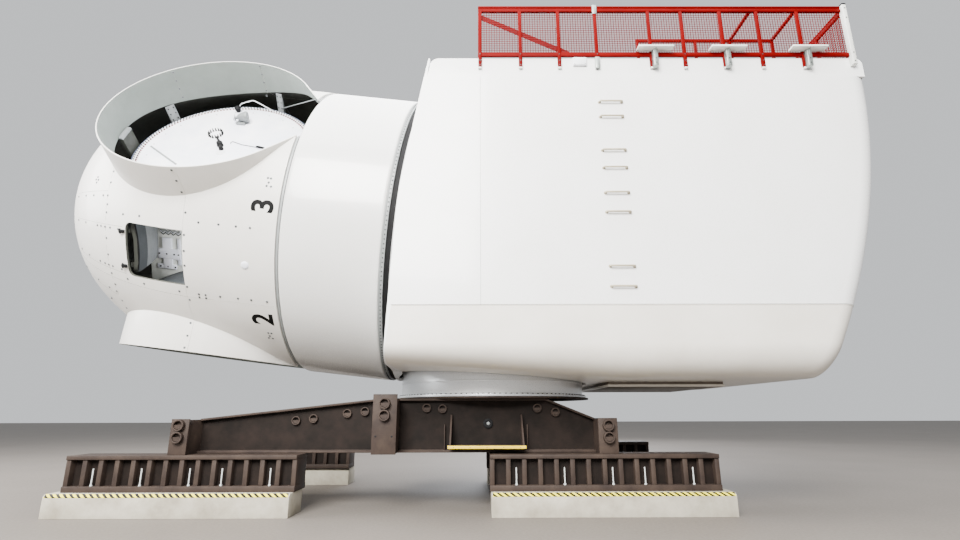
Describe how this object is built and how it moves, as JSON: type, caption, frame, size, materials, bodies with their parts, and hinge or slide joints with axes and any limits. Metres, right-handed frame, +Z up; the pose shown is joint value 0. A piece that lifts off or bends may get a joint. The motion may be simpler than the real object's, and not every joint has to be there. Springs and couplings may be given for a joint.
{
  "type": "wind turbine nacelle on assembly stand",
  "caption": "Direct-drive wind turbine nacelle with hub, spinner, ring generator and fenced roof deck, on a steel and concrete assembly stand.",
  "frame": {"origin": "on the floor, under the middle of the whole object's box", "axes": "+Z up, +X from the rotor towards the rear of the nacelle, -Y the side that the picture shows"},
  "size_m": [16.6381, 7.4844, 9.54],
  "materials": {
    "concrete": "painted concrete, rough",
    "stand_paint": "brown structural paint, satin",
    "step_paint": "brown paint with a yellow edge",
    "ring_steel": "machined and clear coated",
    "casting": "primed casting",
    "seal_rubber": "black seal",
    "grey_trim": "grey, satin",
    "dark_steel": "dark grey primer",
    "generator_paint": "white gloss paint",
    "cover_white": "white satin cover",
    "door_grey": "dark grey gel coat",
    "fence_red": "red powder coat",
    "deck_grating": "galvanised",
    "canopy_lower": "glass fibre with white gel coat",
    "canopy_white": "glass fibre with white gel coat"
  },
  "bodies": {
    "stand": {"ribbed_beam_near_left": "stand_paint", "ribbed_beam_far_left": "stand_paint", "ribbed_beam_near_right": "stand_paint", "ribbed_beam_far_right": "stand_paint", "yaw_ring": "ring_steel", "ring_seat": "stand_paint", "cross_beam_middle": "stand_paint", "cross_beam_left": "stand_paint", "cross_beam_right": "stand_paint", "girder_near_right": "stand_paint", "girder_far_right": "stand_paint", "girder_near_left": "stand_paint", "girder_far_left": "stand_paint", "service_step": "step_paint", "plinth_near_left": "concrete", "plinth_near_right": "concrete", "plinth_far_left": "concrete", "plinth_far_right": "concrete"},
    "nacelle": {"canopy_collar": "canopy_white", "bedframe": "casting", "fence_near": "fence_red", "fence_far": "fence_red", "seal_ring": "seal_rubber", "fence_rear": "fence_red", "fence_front": "fence_red", "belly_panel": "canopy_lower", "skirt_near": "canopy_lower", "skirt_far": "canopy_lower", "deck_guard": "fence_red", "side_panel_rear_near": "canopy_white", "side_panel_rear_far": "canopy_white", "roof_front": "canopy_white", "rear_panel": "canopy_white", "side_panel_front_far": "canopy_white", "side_panel_front_near": "canopy_white", "fascia_near": "canopy_white", "fascia_far": "canopy_white", "hoist_deck": "deck_grating", "service_pan": "grey_trim"},
    "rotor": {"hub_casting": "casting", "spinner_front_1": "canopy_white", "spinner_front_2": "canopy_white", "spinner_front_3": "canopy_white", "generator_drum": "generator_paint", "generator_end_ring": "dark_steel", "spinner_rear_3": "canopy_white", "spinner_rear_1": "canopy_white", "spinner_rear_2": "canopy_white", "spinner_seal_1": "grey_trim", "spinner_seal_2": "grey_trim", "spinner_seal_3": "grey_trim"},
    "blade_root_1": {"blade_plate_1": "cover_white"},
    "blade_root_2": {"blade_plate_2": "cover_white"},
    "blade_root_3": {"blade_plate_3": "cover_white"},
    "hatch": {"hatch_door": "door_grey"}
  },
  "joints": [
    {"name": "yaw", "type": "hinge", "parent": "stand", "child": "nacelle", "pos_m": [1.059, -0.004, 2.64], "axis": [0, 0, 1], "continuous": true},
    {"name": "rotor_spin", "type": "hinge", "parent": "nacelle", "child": "rotor", "pos_m": [-2.62885, -0.004, 5.85795], "axis": [0.9936, 0, -0.1132], "continuous": true},
    {"name": "pitch_1", "type": "hinge", "parent": "rotor", "child": "blade_root_1", "pos_m": [-4.63161, -1.7615, 7.04656], "axis": [0.0419, -0.8788, 0.4754], "range_deg": [0, 90]},
    {"name": "pitch_2", "type": "hinge", "parent": "rotor", "child": "blade_root_2", "pos_m": [-4.96594, 0.04835, 4.11213], "axis": [-0.1253, 0.0262, -0.9918], "range_deg": [0, 90]},
    {"name": "pitch_3", "type": "hinge", "parent": "rotor", "child": "blade_root_3", "pos_m": [-4.62134, 1.70115, 7.13665], "axis": [0.047, 0.8526, 0.5205], "range_deg": [0, 90]},
    {"name": "hatch_hinge", "type": "hinge", "parent": "rotor", "child": "hatch", "pos_m": [-5.85794, -2.51205, 4.76847], "axis": [-0.098, 0.5, -0.8605], "range_deg": [0, 118]}
  ]
}
